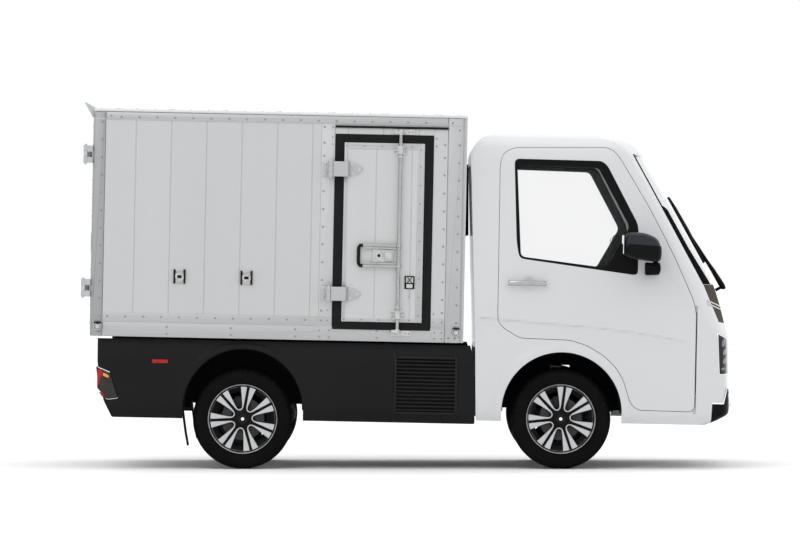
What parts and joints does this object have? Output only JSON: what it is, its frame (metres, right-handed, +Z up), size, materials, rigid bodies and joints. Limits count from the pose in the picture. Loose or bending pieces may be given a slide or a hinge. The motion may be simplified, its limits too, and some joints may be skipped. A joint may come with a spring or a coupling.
{
  "type": "mail delivery truck",
  "caption": "Small electric cab-over mail delivery truck with a riveted cargo box, strap-hinged side door, twin rear doors, alloy wheels and side skirts.",
  "frame": {"origin": "on the ground under the middle of the truck's overall box", "axes": "+X forwards to the nose, +Y to the truck's left, +Z up; wheels stand on z = 0 and the sprung body is pitched 1.15 degrees nose-down"},
  "size_m": [3.7027, 1.964, 2.0741],
  "materials": {
    "frame_black": "satin",
    "battery_case": "matt",
    "spring_steel": "satin",
    "damper_steel": "gloss",
    "axle_iron": "rough",
    "arm_steel": "satin",
    "charcoal_plastic": "fine grain",
    "grille_plastic": "fine grain",
    "bumper_steel": "satin",
    "lamp_red": "clear gloss",
    "lamp_clear": "clear gloss",
    "liner_plastic": "moulded",
    "flap_rubber": "matt",
    "white_paint": "gloss",
    "clear_glass": "polished",
    "bronze_plastic": "satin",
    "dark_plastic": "fine grain",
    "dash_plastic": "leather grain",
    "seat_fabric": "woven",
    "column_steel": "satin",
    "floor_ply": "coated ply",
    "panel_grey": "satin",
    "roof_white": "satin",
    "frame_alloy": "satin",
    "seal_rubber": "matt",
    "hinge_steel": "zinc",
    "keeper_steel": "zinc",
    "visor_alloy": "satin",
    "door_panel": "satin",
    "rod_steel": "zinc",
    "handle_alloy": "cast",
    "wiper_black": "satin",
    "wheel_grip": "leather grain",
    "rack_steel": "plain",
    "trim_black": "satin",
    "chrome_trim": "bright",
    "mirror_plastic": "satin",
    "knuckle_iron": "rough",
    "tyre_rubber": "matt",
    "rim_alloy": "machined"
  },
  "bodies": {
    "truck": {"chassis_frame": "frame_black", "battery_pack": "battery_case", "leaf_springs": "spring_steel", "shock_absorbers": "damper_steel", "rear_axle": "axle_iron", "front_suspension": "arm_steel", "side_skirts": "charcoal_plastic", "vent_grilles": "grille_plastic", "rear_bumper": "bumper_steel", "rear_lamps": "lamp_red", "headlights": "lamp_clear", "wheel_liners": "liner_plastic", "mud_flaps": "flap_rubber", "cab_shell": "white_paint", "cab_glass": "clear_glass", "front_panel": "bronze_plastic", "bumper_grille": "dark_plastic", "dashboard": "dash_plastic", "cab_seats": "seat_fabric", "steering_gear": "column_steel", "box_floor": "floor_ply", "box_walls": "panel_grey", "box_roof": "roof_white", "box_frame": "frame_alloy", "door_seals": "seal_rubber", "hinge_brackets": "hinge_steel", "door_keepers": "keeper_steel", "rain_visor": "visor_alloy"},
    "side_door": {"side_door": "door_panel"},
    "side_lock": {"side_lock_rod": "rod_steel", "side_lock_handle": "handle_alloy"},
    "wiper": {"wiper": "wiper_black"},
    "steering_wheel": {"steering_wheel": "wheel_grip"},
    "steering_rack": {"steering_rack": "rack_steel"},
    "rear_door_right": {"rear_door_right": "door_panel"},
    "rear_lock_right": {"rear_rod_right": "rod_steel", "rear_handle_right": "handle_alloy"},
    "cab_door_right": {"cab_door_right": "white_paint", "door_trim_right": "trim_black"},
    "window_right": {"window_right": "clear_glass"},
    "cab_handle_right": {"cab_handle_right": "chrome_trim"},
    "mirror_right": {"mirror_right": "mirror_plastic"},
    "knuckle_right": {"knuckle_right": "knuckle_iron"},
    "wheel_front_right": {"tyre_front_right": "tyre_rubber", "rim_front_right": "rim_alloy"},
    "wheel_rear_right": {"tyre_rear_right": "tyre_rubber", "rim_rear_right": "rim_alloy"},
    "rear_door_left": {"rear_door_left": "door_panel"},
    "rear_lock_left": {"rear_rod_left": "rod_steel", "rear_handle_left": "handle_alloy"},
    "cab_door_left": {"cab_door_left": "white_paint", "door_trim_left": "trim_black"},
    "window_left": {"window_left": "clear_glass"},
    "cab_handle_left": {"cab_handle_left": "chrome_trim"},
    "mirror_left": {"mirror_left": "mirror_plastic"},
    "knuckle_left": {"knuckle_left": "knuckle_iron"},
    "wheel_front_left": {"tyre_front_left": "tyre_rubber", "rim_front_left": "rim_alloy"},
    "wheel_rear_left": {"tyre_rear_left": "tyre_rubber", "rim_rear_left": "rim_alloy"}
  },
  "joints": [
    {"name": "side_door_hinge", "type": "hinge", "parent": "truck", "child": "side_door", "pos_m": [-0.45007, -0.795, 1.3463], "axis": [-0.0201, 0, -0.9998], "range_deg": [0, 180]},
    {"name": "side_lock_turn", "type": "hinge", "parent": "side_door", "child": "side_lock", "pos_m": [-0.05815, -0.778, 1.33844], "axis": [-0.0201, 0, -0.9998], "range_deg": [-100, 0]},
    {"name": "rear_door_right_hinge", "type": "hinge", "parent": "truck", "child": "rear_door_right", "pos_m": [-1.83421, -0.767, 1.40309], "axis": [0.0201, 0, 0.9998], "range_deg": [0, 270]},
    {"name": "rear_lock_right_turn", "type": "hinge", "parent": "rear_door_right", "child": "rear_lock_right", "pos_m": [-1.81653, -0.062, 1.38674], "axis": [0.0201, 0, 0.9998], "range_deg": [-100, 0]},
    {"name": "cab_door_right_hinge", "type": "hinge", "parent": "truck", "child": "cab_door_right", "pos_m": [1.61553, -0.743, 0.65771], "axis": [0.0201, 0, 0.9998], "range_deg": [0, 65]},
    {"name": "window_right_drop", "type": "slide", "parent": "cab_door_right", "child": "window_right", "axis": [-0.02, -0.0698, -0.9974], "range_m": [0, 0.36]},
    {"name": "cab_handle_right_pull", "type": "hinge", "parent": "cab_door_right", "child": "cab_handle_right", "pos_m": [0.7752, -0.764, 1.04865], "axis": [0.0201, 0, 0.9998], "range_deg": [0, 25], "stiffness_Nm_per_rad": 1.5, "springref_deg": -20.05},
    {"name": "mirror_right_fold", "type": "hinge", "parent": "cab_door_right", "child": "mirror_right", "pos_m": [1.38601, -0.842, 1.18242], "axis": [0.0201, 0, 0.9998], "range_deg": [-12, 60]},
    {"name": "steer_right", "type": "hinge", "parent": "truck", "child": "knuckle_right", "pos_m": [0.8565, -0.57, 0.283], "axis": [0, 0, 1], "range_deg": [-30, 30]},
    {"name": "wheel_front_right_spin", "type": "hinge", "parent": "knuckle_right", "child": "wheel_front_right", "pos_m": [0.8565, -0.6275, 0.283], "axis": [0, 1, 0], "continuous": true},
    {"name": "wheel_rear_right_spin", "type": "hinge", "parent": "truck", "child": "wheel_rear_right", "pos_m": [-0.9435, -0.6275, 0.283], "axis": [0, 1, 0], "continuous": true},
    {"name": "rear_door_left_hinge", "type": "hinge", "parent": "truck", "child": "rear_door_left", "pos_m": [-1.83421, 0.767, 1.40309], "axis": [-0.0201, 0, -0.9998], "range_deg": [0, 270]},
    {"name": "rear_lock_left_turn", "type": "hinge", "parent": "rear_door_left", "child": "rear_lock_left", "pos_m": [-1.81653, 0.062, 1.38674], "axis": [-0.0201, 0, -0.9998], "range_deg": [-100, 0]},
    {"name": "cab_door_left_hinge", "type": "hinge", "parent": "truck", "child": "cab_door_left", "pos_m": [1.61553, 0.743, 0.65771], "axis": [-0.0201, 0, -0.9998], "range_deg": [0, 65]},
    {"name": "window_left_drop", "type": "slide", "parent": "cab_door_left", "child": "window_left", "axis": [-0.02, 0.0698, -0.9974], "range_m": [0, 0.36]},
    {"name": "cab_handle_left_pull", "type": "hinge", "parent": "cab_door_left", "child": "cab_handle_left", "pos_m": [0.7752, 0.764, 1.04865], "axis": [-0.0201, 0, -0.9998], "range_deg": [0, 25], "stiffness_Nm_per_rad": 1.5, "springref_deg": -20.05},
    {"name": "mirror_left_fold", "type": "hinge", "parent": "cab_door_left", "child": "mirror_left", "pos_m": [1.38601, 0.842, 1.18242], "axis": [-0.0201, 0, -0.9998], "range_deg": [-12, 60]},
    {"name": "steer_left", "type": "hinge", "parent": "truck", "child": "knuckle_left", "pos_m": [0.8565, 0.57, 0.283], "axis": [0, 0, 1], "range_deg": [-30, 30]},
    {"name": "wheel_front_left_spin", "type": "hinge", "parent": "knuckle_left", "child": "wheel_front_left", "pos_m": [0.8565, 0.6275, 0.283], "axis": [0, 1, 0], "continuous": true},
    {"name": "wheel_rear_left_spin", "type": "hinge", "parent": "truck", "child": "wheel_rear_left", "pos_m": [-0.9435, 0.6275, 0.283], "axis": [0, 1, 0], "continuous": true},
    {"name": "steering_wheel_turn", "type": "hinge", "parent": "truck", "child": "steering_wheel", "pos_m": [1.23083, 0.3, 1.0255], "axis": [-0.4825, 0, 0.8759], "range_deg": [-450, 450]},
    {"name": "steering_rack_slide", "type": "slide", "parent": "truck", "child": "steering_rack", "axis": [0, 1, 0], "range_m": [-0.06, 0.06]},
    {"name": "wiper_sweep", "type": "hinge", "parent": "truck", "child": "wiper", "pos_m": [1.77256, 0, 1.00663], "axis": [0.877, 0, 0.4806], "range_deg": [-50, 50]}
  ],
  "couplings": [
    {"joint": "steer_right", "follows": "steer_left", "ratio": 1},
    {"joint": "steering_wheel_turn", "follows": "steer_left", "ratio": 15},
    {"joint": "steering_rack_slide", "follows": "steer_left", "m_per_rad": 0.108}
  ]
}
